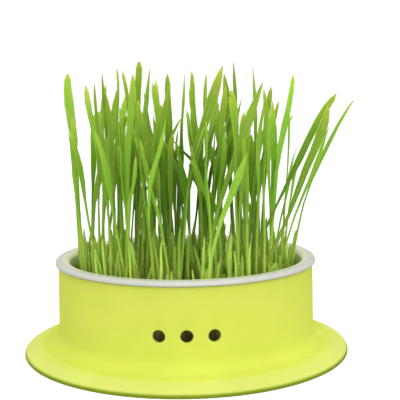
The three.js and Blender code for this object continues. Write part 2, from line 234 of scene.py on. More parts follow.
def lime_plastic():
    material, tree, colour = plastic(
        "lime plastic", 0.7, Specular_IOR_Level=0.03, Subsurface_Weight=0.3, Subsurface_Scale=1.0,
        Subsurface_Radius=(0.012, 0.012, 0.003), Emission_Color=LIME_PAINTED_GLOW)
    x, y, z, from_axis = round_place(tree)
    # Painted highlight: the brim's outer band is painted paler all round.
    on_band_highlight = add_range(tree, from_axis, 0.0848, 0.0885, 0.0, 0.45)
    # Painted shade: the lowest few millimetres of the lip are painted darker.
    on_lip_shade = add_range(tree, z, 0.0027, 0.0014)
    band_highlighted = add_mix(tree, on_band_highlight, LIME_BODY, LIME_BAND_HIGHLIGHT)
    tree.links.new(add_mix(tree, on_lip_shade, band_highlighted, LIME_LIP_SHADE), colour)

    # Painted light: the inner wall and floor glow faintly in streaks, more towards the back, seen through the vents.
    inside = add_range(tree, from_axis, 0.0725, 0.0715)
    above_ground = add_range(tree, z, 0.0022, 0.0024)
    far = add_range(tree, y, -0.006, 0.022, 0.25, 1.0)
    stretched = add_axes(tree, add_product(tree, x, 260.0), add_product(tree, y, 30.0))
    streaks = add_range(tree, add_noise(tree, stretched, 1.0), 0.35, 0.7, 0.02, 0.11)
    connect(tree, {"Emission Strength": add_product(tree, inside, above_ground, far, streaks)})
    return material


LIME = lime_plastic()

# %% [markdown]
# The tray is thin white plastic. Its rim is painted creamy and light on top and inside, painted light bounced from
# the lime pot and the leaves, and a darker, cooler white outside, painted shade. Below the rim the inner wall is
# painted darker and greener towards the soil, painted shade and green bounce light. The rim's lower edge is a thin
# grey line of painted shade.

# %% Cream plastic
RIM_CREAM_LIT = (0.76, 0.77, 0.45, 1)
RIM_WHITE_SHADED = (0.555, 0.562, 0.50, 1)
TRAY_SHADE_GREEN = (0.26, 0.41, 0.035, 1)
RIM_EDGE_SHADE = (0.27, 0.27, 0.24, 1)


def cream_plastic():
    material, tree, colour = plastic("cream plastic", 0.26, Specular_IOR_Level=0.5)
    *_, z, from_axis = round_place(tree)
    # Painted shade and green bounce light: the inner wall turns darker and greener from the rim down to the soil.
    depth = add_product(tree, add_range(tree, from_axis, 0.0712, 0.0685), add_range(tree, z, 0.0545, 0.045))
    # Painted light and shade: creamy and lighter on top and inside, a darker, greyer white on the outer face.
    rim = add_mix(tree, add_range(tree, from_axis, 0.0702, 0.0745), RIM_CREAM_LIT, RIM_WHITE_SHADED)
    rim_shaded_below = add_mix(tree, depth, rim, TRAY_SHADE_GREEN)
    # Painted shade: a thin grey line on the underside of the rim's outer lip.
    edge = add_product(tree, add_range(tree, from_axis, 0.0755, 0.0758), add_range(tree, z, 0.0530, 0.0524))
    tree.links.new(add_mix(tree, edge, rim_shaded_below, RIM_EDGE_SHADE), colour)
    return material


CREAM = cream_plastic()

# %% [markdown]
# ## From a bmesh to a piece
# Meshes are modelled in millimetres, as the pot's real sizes are given, and become metres at the end.

# %% Piece helper
def to_mesh(shape, name):
    mesh = bpy.data.meshes.new(name)
    shape.to_mesh(mesh)
    shape.free()
    return mesh


def smooth(shape):
    for face in shape.faces:
        face.smooth = True


def make_piece(name, shape, materials, slot, *nodes):
    """Turns a bmesh in millimetres into a piece that rides with the pot and stands for the given solids."""
    bmesh.ops.scale(shape, vec=(MM, MM, MM), verts=shape.verts[:])
    mesh = to_mesh(shape, name)
    for material in materials:
        mesh.materials.append(material)
    piece = link_object(name, mesh)
    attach(piece, "root")
    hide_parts(*nodes)
    return piece


def turned(profile, steps=160):
    """Spins a profile of (radius, height, rounding) once round the pot's axis, with its corners rounded first."""
    shape = bmesh.new()
    corners = [shape.verts.new((radius, 0, height)) for radius, height, _ in profile]
    for start, end in zip(corners, corners[1:]):
        shape.edges.new((start, end))
    for corner, (_, _, rounding) in zip(corners, profile):
        if rounding:
            bmesh.ops.bevel(shape, geom=[corner], offset=rounding, offset_type="OFFSET", segments=4, profile=0.5,
                            affect="VERTICES", material=-1)
    bmesh.ops.spin(shape, geom=shape.verts[:] + shape.edges[:], cent=(0, 0, 0), axis=(0, 0, 1),
                   angle=math.tau, steps=steps, use_merge=True)
    bmesh.ops.remove_doubles(shape, verts=shape.verts[:], dist=0.002)
    bmesh.ops.recalc_face_normals(shape, faces=shape.faces[:])
    smooth(shape)
    return shape


def pierced(shape, cylinders):
    """Cuts round holes. Each cylinder is (radius, length, matrix), and its axis is Z before the matrix."""
    cutter = bmesh.new()
    for radius, length, matrix in cylinders:
        bmesh.ops.create_cone(cutter, cap_ends=True, segments=40, radius1=radius, radius2=radius, depth=length,
                              matrix=matrix)
    whole = link_object("whole", to_mesh(shape, "whole"))
    holes = link_object("holes", to_mesh(cutter, "holes"))
    cut = whole.modifiers.new("holes", "BOOLEAN")
    cut.object = holes
    cut.solver = "EXACT"
    bpy.context.view_layer.update()
    result = bmesh.new()
    result.from_mesh(whole.evaluated_get(bpy.context.evaluated_depsgraph_get()).to_mesh())
    for mesh in (whole.data, holes.data):
        bpy.data.meshes.remove(mesh)  # the object that shows a mesh goes with it
    smooth(result)
    return result


# %% [markdown]
# ## The outer pot
# One moulding: a floor, a nearly upright wall, and a brim that spreads from its foot. The brim's top is hollow like a
# saucer, turns down at a crease into an outer band, and ends in a rounded lip. The pot is round, so one profile is
# spun round the axis. The numbers are the solid's own.

# %% Pot profile
POT_RADIUS = 75.0
POT_HEIGHT = 53.2
POT_FOOT = 75.8
BRIM_RADIUS = 95.9
POT_FLOOR = 2.5
POT_PROFILE = [
    (0, 0, 0), (POT_FOOT - 1.4, 0, 0), (POT_FOOT - 0.6, 0.8, 0.4), (POT_FOOT - 0.6, 2.8, 0.6),
    (POT_FOOT + 1, 4.3, 0.8), (84.6, 4.2, 1), (92, 1.1, 0.5), (92.8, 0, 0.2), (BRIM_RADIUS - 0.2, 0, 0.5),
    (BRIM_RADIUS, 1.5, 1), (BRIM_RADIUS - 1.4, 2.5, 0.8), (92.4, 3.1, 0.8), (85, 6.3, 0.9), (82.6, 6.5, 0.8),
    (80.4, 7.1, 0.8), (78.5, 8.2, 0.8), (77.1, 9.7, 0.8), (76.1, 11.7, 0.8), (POT_FOOT - 0.2, 14, 0.8),
    (POT_FOOT - 0.3, 19, 0), (POT_FOOT - 0.4, 26, 0), (POT_FOOT - 0.5, 36, 0), (POT_FOOT - 0.7, 46, 0),
    (POT_RADIUS, POT_HEIGHT, 0.7), (POT_RADIUS - 1.8, POT_HEIGHT, 0.5), (POT_RADIUS - 2.1, 36, 0),
    (POT_RADIUS - 2.3, 19, 0), (POT_RADIUS - 2.6, POT_FLOOR, 2.4), (0, POT_FLOOR, 0),
]
pot_shape = turned(POT_PROFILE)
print("outer pot, before its vents:", len(pot_shape.faces), "faces")

# %% [markdown]
# Three round vents go through the front of the wall. A boolean cut makes them, and a small bevel softens their
# edges: the edges to soften are those of the cut circles, which lie a vent's radius from a vent's centre line.

# %% Vents
VENT_RADIUS = 3.4
VENT_HEIGHT = 26.0
VENT_TURN = 14.6 / POT_RADIUS  # radians round the wall from one vent to the next
VENT_CUT = 12.0  # how long the cutting cylinders are
SHARP = 0.9  # radians between two faces that meet at a vent's edge, or more


def vent_matrix(number):
    turn = Matrix.Rotation((number - 1) * VENT_TURN, 4, "Z")
    return turn @ Matrix.Translation((0, -POT_RADIUS, VENT_HEIGHT)) @ Matrix.Rotation(math.pi / 2, 4, "X")


pot_shape = pierced(pot_shape, [(VENT_RADIUS, VENT_CUT, vent_matrix(number)) for number in range(3)])


def from_vent(point):
    """How far a point is from the nearest vent's centre line."""
    local = [vent_matrix(number).inverted() @ point for number in range(3)]
    return min(math.hypot(at.x, at.y) if abs(at.z) < VENT_CUT / 2 else math.inf for at in local)


def round_vents(shape):
    rims = [edge for edge in shape.edges if edge.calc_face_angle(0) > SHARP
            and all(abs(from_vent(vert.co) - VENT_RADIUS) < 0.02 for vert in edge.verts)]
    bmesh.ops.bevel(shape, geom=rims, offset=0.35, offset_type="OFFSET", segments=3, profile=0.5, affect="EDGES",
                    material=-1)
    smooth(shape)
    print("vent edges rounded:", len(rims))


round_vents(pot_shape)
make_piece("outer_pot_moulding", pot_shape, [LIME], "pot_plastic", "outer_pot")

# %% [markdown]
# ## The white tray
# A thin tray hangs in the pot by a flange. The flange rolls over the pot's edge and its lip turns down outside. The
# tray's floor has drain holes, so that water reaches the roots from the pot below.

# %% Tray
TRAY_FLOOR = 31.8
TRAY_TOP = 55.1
TRAY_PROFILE = [
    (0, 30.3, 0), (67.2, 30.3, 1.4), (69.9, 52.7, 0), (70.7, 53.5, 0.3), (75.4, 53.5, 0.3), (75.4, 52.2, 0.2),
    (76.7, 52.2, 0.6), (76.8, 54.0, 0.8), (75.3, TRAY_TOP, 0.9), (70.2, TRAY_TOP, 1.2), (68.2, 53.2, 1),
    (65.6, TRAY_FLOOR, 2.2), (0, TRAY_FLOOR, 0),
]
DRAIN_RADIUS = 2.5
DRAIN_RINGS = ((4, 18), (8, 42))  # how many drains, and how far from the axis
DRAIN_CUT = 8.0


def drain_matrix(count, ring, k):
    return Matrix.Rotation(k / count * math.tau, 4, "Z") @ Matrix.Translation((ring, 0, TRAY_FLOOR))


drains = [
    (DRAIN_RADIUS, DRAIN_CUT, drain_matrix(count, ring, k))
    for count, ring in DRAIN_RINGS
    for k in range(count)
]
tray_shape = pierced(turned(TRAY_PROFILE), drains)
tray = make_piece("tray_moulding", tray_shape, [CREAM], "tray_plastic", "liner")
print("tray:", len(tray.data.polygons), "faces,", len(drains), "drains")

# %% [markdown]
# ## Soil
# The bed is dark, crumbly soil. Its skin is a spun disc whose upper points are lifted by two sizes of noise, so that
# the crumbs are real shape. Its colour runs from near black to brown in patches, with pale fibres on the brown.

# %% Soil finish
SOIL_DARK = (0.012, 0.008, 0.005, 1)
SOIL_BROWN = (0.085, 0.048, 0.026, 1)
SOIL_FIBRE = (0.30, 0.21, 0.12, 1)


def soil_material():
    material, tree = new_material("growing soil", Specular_IOR_Level=0.25)
    place = object_place(tree)
    patches = add_noise(tree, place, 140.0, 5.0)
    earth = add_mix(tree, patches, SOIL_DARK, SOIL_BROWN)
    chip = add_range(tree, add_cells(tree, place, 330.0), 0.1, 0.22, 1.0, 0.0)
    fibre = add_product(tree, chip, add_range(tree, patches, 0.55, 0.62))
    height = add_math(tree, "ADD", add_cells(tree, place, 620.0), patches)
    connect(tree, {
        "Base Color": add_mix(tree, fibre, earth, SOIL_FIBRE), "Normal": add_bump(tree, height, 0.9, 0.0006),
        "Roughness": add_range(tree, patches, 0.3, 0.7, 0.75, 0.98)})
    return material


SOIL = soil_material()

# %% Soil bed
SOIL_TOP = 39.0
SOIL_RADIUS = 66.4


def crumbled(point):
    """Moves a point of the soil's skin up or down by noise of two sizes."""
    coarse = noise.noise(point * 0.16)
    fine = noise.noise(point * 0.55 + Vector((40, 0, 0)))
    return point + Vector((0, 0, 0.8 * coarse + 0.5 * fine))


SOIL_PROFILE = [
    (0, 32.1, 0), (64, 32.1, 0), (66, 34, 0), (SOIL_RADIUS, 37.6, 0), (65.8, 38.7, 0),
    *((radius, SOIL_TOP, 0) for radius in np.arange(64, 1, -1.6)), (0, SOIL_TOP, 0),
]
soil_shape = turned(SOIL_PROFILE, steps=150)
for vert in soil_shape.verts:
    if vert.co.z > SOIL_TOP - 0.1:
        vert.co = crumbled(vert.co)
soil = make_piece("soil_bed", soil_shape, [SOIL], "growing_bed", "soil")
print("soil:", len(soil.data.polygons), "faces")

# %% [markdown]
# ## Where the wheat stands
# The solids hold the wheat in 36 clumps, in rings, and each clump is one solid. The finer leaves have to grow on
# exactly the same lines, so this step repeats the rule that grew them: the same seed, and the same order of draws.
# First come the numbers, and the listed plants that give the stand its outline. Lengths are in millimetres.

# %% Clumps and outline plants
TUFT_RINGS = (1, 6, 11, 18)  # clumps in each ring, from the middle outwards
RING_STEP = 18.8
CLUMP_RADIUS = 8.4
CLUMP_FOOT = 33.8
CLUMP_CROWN = 40.6
ROOT_HEIGHT = 38.2
STAND_RADIUS = 65.0
TRAY_INSIDE = 66.2  # leaves stay inside this radius below the tray's rim
GRASS_SEED = 58380

# Root x, y; tip x, y, z; blade width; the direction of its width in degrees from +X; and how late it leans.
OUTLINE_PLANTS = [
    (-62.5, 2, -67.2, 3, 162.5, 4.6, 0, 0.3),
    (-60.5, -5, -65.5, -3, 138, 4.4, 0, 0.2),
    (-50, -16, -64.5, -13, 131, 3.4, 20, 0.2),
    (-38, -30, -54.1, -27, 155, 3.8, 10, 0.5),
    (-43, 24, -48.5, 26, 164, 3.4, 25, 0.2),
    (-40, -4, -38.6, -2, 166, 2.6, 40, 0.6),
    (-30, 40, -38, 42, 165, 3.2, 15, 0.6),
    (-33, -44, -27.1, -42, 161, 4, 5, 0.4),
    (-24, 12, -26.9, 13, 169.5, 4.2, 0, 0.1),
    (-35, 6, -18.7, 8, 166, 3, 20, 0.3),
    (-7, -56, -25, -50, 127, 2.8, -15, 0.4),
    (-17, -22, -14.7, -23, 158, 3.2, 30, 0.5),
    (-12, 8, -8.4, 10, 162.5, 5, 5, 0.3),
    (-4, 50, 1.5, 53, 163.5, 2.6, 60, 0.5),
    (11, 26, 4.5, 28, 164, 3.6, 10, 0.5),
    (13, 0, 13, 3, 162, 2.8, 40, 0.2),
    (-9, -34, 21.5, -31, 165, 5.6, 8, 0.35),
    (30, 14, 25, 17, 162, 4.8, 0, 0.3),
    (34, 38, 31.6, 41, 170, 3, 55, 0.4),
    (44, -2, 40, 0, 166, 2.8, 35, 0.7),
    (4, -48, 43.6, -40, 156, 5, 10, 0.3),
    (7, -62, 33, -58, 119, 4.2, 5, 0.3),
    (45, 22, 52.9, 24, 154, 4.2, 5, 0.2),
    (43, -22, 62, -18, 160, 4.4, 15, 0.45),
    (59, 10, 65, 13, 140, 2.8, 50, 0.4),
    (30, -23, 84.8, -24, 149.5, 4.6, 12, 0.1),
    (32, -34, 78.5, -38, 143, 5.2, 0, -0.25),
    (50, -12, 84, -14, 131, 2.8, 20, 0.1),
    (64, -6, 100, -4, 145.5, 2.8, 10, 0.75),
    (56, 30, 72, 34, 117, 2.8, 30, 0.4),
    (60, 20, 70, 21, 111, 2.6, 45, 0.3),
]
TUFT_CENTRES = [
    (ring * RING_STEP * math.cos(k / count * math.tau), ring * RING_STEP * math.sin(k / count * math.tau))
    for ring, count in enumerate(TUFT_RINGS)
    for k in range(count)
]
TUFTS = range(len(TUFT_CENTRES))
print("clumps:", len(TUFTS))

# %% [markdown]
# A leaf follows a cubic curve from its root to its tip. At each share of the way it has a width, as a share of the
# full width, and a thickness. The rule's own random source is repeated, because Python's would draw other numbers.

# %% Leaf curves
@dataclass(eq=False)
class Leaf:
    kind: str
    tuft: int
    curve: np.ndarray  # four control points
    width: float
    facing: float
    twist: float = 0.0


# Share of the way along the curve, share of the width, thickness.
STATIONS = {
    "plant": [(0, 0.42, 1.6), (0.42, 0.42, 1.4), (0.7, 1, 0.8), (0.88, 0.7, 0.65), (1, 0, 0)],
    "side": [(0, 0.4, 1.2), (0.38, 1, 0.8), (0.74, 0.82, 0.65), (1, 0, 0)],
    "shoot": [(0, 1, 1.8), (0.6, 0.85, 1.5), (1, 0, 0)],
}


class Draws:
    """The random source of the growth rule."""

    def __init__(self, seed):
        self.state = seed

    def next(self):
        self.state = (self.state * 1664525 + 1013904223) % 2**32
        return self.state / 2**32

    def between(self, low, high):
        return low + (high - low) * self.next()


def along(curve, shares):
    """The points at these shares of a curve."""
    share = np.asarray(shares, float)[..., None]
    rest = 1 - share
    first, second, third, last = curve
    return rest**3 * first + 3 * rest**2 * share * second + 3 * rest * share**2 * third + share**3 * last


def unit(vectors):
    return vectors / np.linalg.norm(vectors, axis=-1, keepdims=True)


def tangents(curve, shares):
    shares = np.asarray(shares, float)
    return unit(along(curve, np.minimum(shares + 1e-4, 1)) - along(curve, np.maximum(shares - 1e-4, 0)))


def across(leaf, shares, curl=0.0):
    """The direction of the leaf's width, square to its curve."""
    shares = np.asarray(shares, float)
    angle = leaf.facing + leaf.twist * shares + curl
    level = np.stack([np.cos(angle), np.sin(angle), np.zeros_like(angle)], axis=-1)
    ahead = tangents(leaf.curve, shares)
    return unit(level - ahead * (level * ahead).sum(axis=-1, keepdims=True))


def curve_between(root, tip, bend):
    """A curve that leaves the root nearly upright, and leans late in its height where bend is near 1."""
    root, tip = np.array(root, float), np.array(tip, float)
    reach = tip - root
    early, late = 0.35 * (1 - bend), 0.72 - 0.42 * bend
    return np.array([root, root + reach * (early, early, 0.36), root + reach * (late, late, 0.74), tip])


def side_curve(plant, share, tip):
    """A side blade leaves its plant's curve along the stalk, then swings away."""
    start, tip = along(plant.curve, share), np.array(tip, float)
    first = start + tangents(plant.curve, share) * np.linalg.norm(tip - start) * 0.32
    return np.array([start, first, (first + tip) / 2, tip])


# %% [markdown]
# Two leaves of the stand never cross. Each leaf is cut by level planes, and where it meets a plane it leaves a short
# line across its width. A new leaf is kept if its lines stay clear of all the others, and is drawn again if not.

# %% Room between leaves
LEVELS = 40 + 1.5 * np.arange(90)  # heights of the planes
CURVE_SHARES = np.linspace(0, 1, 41)
IN_TRAY = LEVELS < TRAY_TOP + 1
NEAR = 3.0  # leaves whose lines are further apart than this never touch
WITHIN_TUFT = 0.1  # the least gap between two leaves of one clump
BETWEEN_TUFTS = 0.45  # and of two clumps
MOST_LEAVES = 1500


def level_lines(leaf):
    """For each level, the ends of the leaf's line there and its thickness, or NaN where the leaf doesn't reach."""
    points = along(leaf.curve, CURVE_SHARES)
    step = np.searchsorted(points[:, 2], LEVELS, side="right")
    met = (step > 0) & (step < len(points))
    step = step[met]
    low, high = points[step - 1], points[step]
    part = (LEVELS[met] - low[:, 2]) / (high[:, 2] - low[:, 2])
    shares = (step - 1 + part) / (len(CURVE_SHARES) - 1)
    middle = low + (high - low) * part[:, None]
    places, widths, thicknesses = np.array(STATIONS[leaf.kind], float).T
    half = across(leaf, shares) * (leaf.width * np.interp(shares, places, widths) / 2)[:, None]
    lines = np.full((len(LEVELS), 5), np.nan)
    lines[met] = np.column_stack([
        (middle - half)[:, :2], (middle + half)[:, :2], np.interp(shares, places, thicknesses)])
    return lines


def to_line(point, start, end):
    """Distances from points to lines."""
    run = end - start
    share = ((point - start) * run).sum(-1) / ((run * run).sum(-1) + 1e-9)
    nearest = start + run * np.clip(share, 0, 1)[..., None]
    return np.linalg.norm(point - nearest, axis=-1)


def which_side(start, end, point):
    run, reach = end - start, point - start
    return run[..., 0] * reach[..., 1] - run[..., 1] * reach[..., 0]


def gaps(lines, others):
    """The gap between a leaf's line and each other leaf's line, level by level."""
    a, b, c, d = lines[:, :2], lines[:, 2:4], others[..., :2], others[..., 2:4]
    a, b = np.broadcast_to(a, c.shape), np.broadcast_to(b, c.shape)
    nearest = np.minimum.reduce([to_line(a, c, d), to_line(b, c, d), to_line(c, a, b), to_line(d, a, b)])
    crossed = (which_side(a, b, c) * which_side(a, b, d) < 0) & (which_side(c, d, a) * which_side(c, d, b) < 0)
    return np.where(crossed, 0, nearest)


def span_of(lines):
    ends = np.vstack([lines[:, :2], lines[:, 2:4]])
    return np.concatenate([np.nanmin(ends, axis=0), np.nanmax(ends, axis=0)])


class Stand:
    """The leaves that stand so far, and their lines."""

    def __init__(self):
        self.leaves = []
        self.lines = np.full((MOST_LEAVES, len(LEVELS), 5), np.nan)
        self.spans = np.full((MOST_LEAVES, 4), np.nan)  # the least x and y of the lines, and the greatest
        self.tufts = np.full(MOST_LEAVES, -1)

    def add(self, leaf, lines):
        count = len(self.leaves)
        self.lines[count], self.spans[count], self.tufts[count] = lines, span_of(lines), leaf.tuft
        self.leaves.append(leaf)

    def has_room(self, leaf, lines, parent, between_tufts):
        count = len(self.leaves)
        far = np.fmax(np.hypot(lines[:, 0], lines[:, 1]), np.hypot(lines[:, 2], lines[:, 3]))
        if (far[IN_TRAY] > TRAY_INSIDE).any():
            return False
        span, spans = span_of(lines), self.spans[:count]
        close = (spans[:, :2] < span[2:] + NEAR).all(axis=1) & (spans[:, 2:] > span[:2] - NEAR).all(axis=1)
        if parent is not None:
            close[self.leaves.index(parent)] = False
        others = self.lines[:count][close]
        needed = (lines[:, 4] + others[..., 4]) / 2
        needed = needed + np.where(self.tufts[:count][close] == leaf.tuft, WITHIN_TUFT, between_tufts)[:, None]
        return not (gaps(lines, others) < needed).any()


# %% [markdown]
# Now the stand grows: the outline plants, then three rounds in which each clump gets a plant and about every second
# plant a side blade, then a short shoot in each clump. The boxes of the solids show whether the rule was repeated
# exactly: a leaf that grew elsewhere would stick out of its clump's box.

# %% Grow the stand
TRIES = 30
PLANT_ROUNDS = 3
CLUMP_EDGE = 1.6  # roots keep this far inside their clump
PAST_BOX = 1.0


def nearest_tuft(x, y):
    return min(TUFTS, key=lambda k: math.hypot(x - TUFT_CENTRES[k][0], y - TUFT_CENTRES[k][1]))


def held_root(tuft, x, y):
    """A root is drawn in to where its clump can hold it."""
    centre_x, centre_y = TUFT_CENTRES[tuft]
    pull = min(1, (CLUMP_RADIUS - CLUMP_EDGE) / max(math.hypot(x - centre_x, y - centre_y), 1e-6))
    return centre_x + (x - centre_x) * pull, centre_y + (y - centre_y) * pull, ROOT_HEIGHT


def root_at(tuft, radius, angle):
    centre_x, centre_y = TUFT_CENTRES[tuft]
    return centre_x + radius * math.cos(angle), centre_y + radius * math.sin(angle), ROOT_HEIGHT


def random_root(tuft, draws):
    radius = (CLUMP_RADIUS - CLUMP_EDGE) * math.sqrt(draws.next())
    return root_at(tuft, radius, draws.between(0, math.tau))


def drawn_in(x, y, z, draws):
    """A tip is drawn in to about the stand's radius."""
    pull = min(1, draws.between(STAND_RADIUS - 3, STAND_RADIUS + 3) / math.hypot(x, y))
    return x * pull, y * pull, z


def draw_plant(tuft, draws):
    x, y, z = random_root(tuft, draws)
    rise = draws.between(84, 120)
    lean = rise * 0.2 * math.sqrt(draws.next())
    towards = draws.between(0, math.tau)
    tip = drawn_in(x * 1.05 + lean * math.cos(towards), y * 1.05 + lean * math.sin(towards), z + rise, draws)
    return Leaf("plant", tuft, curve_between((x, y, z), tip, draws.between(0.1, 0.9)), draws.between(2.8, 4.8),
                draws.between(-1.1, 1.1), draws.between(-0.8, 0.8))


def draw_side_blade(plant, draws):
    share = draws.between(0.28, 0.5)
    x, y, z = along(plant.curve, share)
    swing = draws.between(9, 26)
    towards = draws.between(0, math.tau)
    height = z + draws.between(34, 62)
    tip = drawn_in(x + swing * math.cos(towards), y + swing * math.sin(towards), height, draws)
    return Leaf("side", plant.tuft, side_curve(plant, share, tip), draws.between(1.8, 3.2),
                plant.facing + draws.between(-0.6, 0.6), draws.between(-0.8, 0.8))


def draw_shoot(tuft, draws, reach=4, rises=(12, 38), widths=(1.9, 2.6)):
    x, y, z = random_root(tuft, draws)
    tip = (x + draws.between(-reach, reach), y + draws.between(-reach, reach), z + draws.between(*rises))
    return Leaf("shoot", tuft, curve_between((x, y, z), tip, draws.between(0, 0.8)), draws.between(*widths),
                draws.between(-1.5, 1.5))


def try_to_grow(stand, draw, parent=None, between_tufts=BETWEEN_TUFTS):
    for _ in range(TRIES):
        leaf = draw()
        lines = level_lines(leaf)
        if stand.has_room(leaf, lines, parent, between_tufts):
            stand.add(leaf, lines)
            return leaf
    return None


def grow_stand():
    stand, draws = Stand(), Draws(GRASS_SEED)
    outlined = [0] * len(TUFTS)
    for x, y, tip_x, tip_y, tip_z, width, facing, bend in OUTLINE_PLANTS:
        tuft = nearest_tuft(x, y)
        outlined[tuft] += 1
        curve = curve_between(held_root(tuft, x, y), (tip_x, tip_y, tip_z), bend)
        leaf = Leaf("plant", tuft, curve, width, math.radians(facing))
        stand.add(leaf, level_lines(leaf))
    for round_number in range(PLANT_ROUNDS):
        for tuft in TUFTS:
            if round_number < outlined[tuft]:
                continue
            plant = try_to_grow(stand, lambda: draw_plant(tuft, draws))
            if plant and draws.next() >= 0.5:
                try_to_grow(stand, lambda: draw_side_blade(plant, draws), plant)
    for tuft in TUFTS:
        try_to_grow(stand, lambda: draw_shoot(tuft, draws))
    return stand


def check_boxes(stand):
    """How far the stand differs from the solids' boxes, in millimetres. A line may end PAST_BOX outside its box."""
    worst = 0
    for tuft in TUFTS:
        low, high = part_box(f"grass_tuft_{tuft + 1:02d}")
        top = max(leaf.curve[3][2] for leaf in stand.leaves if leaf.tuft == tuft)
        lines = stand.lines[stand.tufts == tuft]
        past_left = low.x / MM - np.nanmin(lines[..., [0, 2]])
        past_right = np.nanmax(lines[..., [0, 2]]) - high.x / MM
        worst = max(worst, abs(top - high.z / MM), past_left - PAST_BOX, past_right - PAST_BOX)
    return worst


stand = grow_stand()
kinds = [leaf.kind for leaf in stand.leaves]
print("leaves of the solids:", {kind: kinds.count(kind) for kind in STATIONS})
print("box difference:", check_boxes(stand))

# %% [markdown]
# ## Young shoots
# A real pot is denser than the solids can be. Short pale shoots fill it up, first along the tray's wall and then
# everywhere. They follow the same rule, only closer together, so they stay clear of what already stands. At the back
# they stay shorter, so that daylight still shows between the tall leaves.

# %% Fill the stand
YOUNG_SEED = 977
YOUNG_GAP = 0.12  # the least gap between shoots of two clumps
WALL_ROUNDS = 12
SHOOT_ROUNDS = 20
BACK = 15  # the back of the stand begins this far behind the axis
BACK_RISE = 20  # the tallest shoot there


def draw_wall_shoot(tuft, draws):
    """A shoot on the outer side of its clump, which leans out to the tray's wall."""
    centre_x, centre_y = TUFT_CENTRES[tuft]
    angle = math.atan2(centre_y, centre_x) + draws.between(-1.2, 1.2)
    x, y, z = root_at(tuft, draws.between(4.5, CLUMP_RADIUS - 1.4), angle)
    rise = draws.between(12, 36 if centre_y < BACK else BACK_RISE)
    out = draws.between(1.01, 1.05)
    tip = (x * out + draws.between(-3, 3), y * out + draws.between(-3, 3), z + rise)
    return Leaf("shoot", tuft, curve_between((x, y, z), tip, draws.between(0, 0.3)), draws.between(1.7, 2.8),
                draws.between(-1.5, 1.5))


def fill_stand(stand):
    draws = Draws(YOUNG_SEED)
    for _ in range(WALL_ROUNDS):
        for tuft in TUFTS[-TUFT_RINGS[-1]:]:
            try_to_grow(stand, lambda: draw_wall_shoot(tuft, draws), between_tufts=YOUNG_GAP)
    for _ in range(SHOOT_ROUNDS):
        for tuft, (_, centre_y) in enumerate(TUFT_CENTRES):
            rises = (10, 42 if centre_y < BACK else BACK_RISE)
            try_to_grow(stand, lambda: draw_shoot(tuft, draws, 6, rises, (2.0, 3.4)), between_tufts=YOUNG_GAP)


fill_stand(stand)
print("leaves in all:", len(stand.leaves))

# %% [markdown]
# ## The leaf finish
# A young wheat leaf is pale and waxy at its sheath, turns fresh green above the soil, and ends in a lighter tip that
# may dry to yellow. Fine veins run along it, and tiny drops of water sit on it near the tray, painted as pale glints.
# Its UV map has the width in u and the length in v, so the veins follow every bend. Each leaf carries four numbers of
# its own: its tone, how dry its tip is, how near the middle of the stand it is, for painted shade that darkens inner
# leaves, and whether it is a young shoot. Light passes through a leaf, which a little subsurface scattering shows.
# Heights are in metres above the ground.

# %% Leaf finish
SHEATH_GREEN = (0.43, 0.59, 0.075, 1)
FRESH_GREEN = (0.208, 0.412, 0.033, 1)
TIP_GREEN = (0.312, 0.505, 0.036, 1)
SHADE_GREEN = (0.036, 0.152, 0.004, 1)
SHOOT_GREEN = (0.43, 0.60, 0.115, 1)
MIDRIB_GREEN = (0.36, 0.55, 0.10, 1)
MARGIN_YELLOW = (0.42, 0.40, 0.02, 1)
DRY_YELLOW = (0.50, 0.54, 0.07, 1)
BURNT_BROWN = (0.22, 0.12, 0.03, 1)
DEW_GLINT = (0.78, 0.88, 0.52, 1)
LEAF_MARKS = ("tone", "dry", "shade", "young")
VEINS = 9  # veins across a leaf


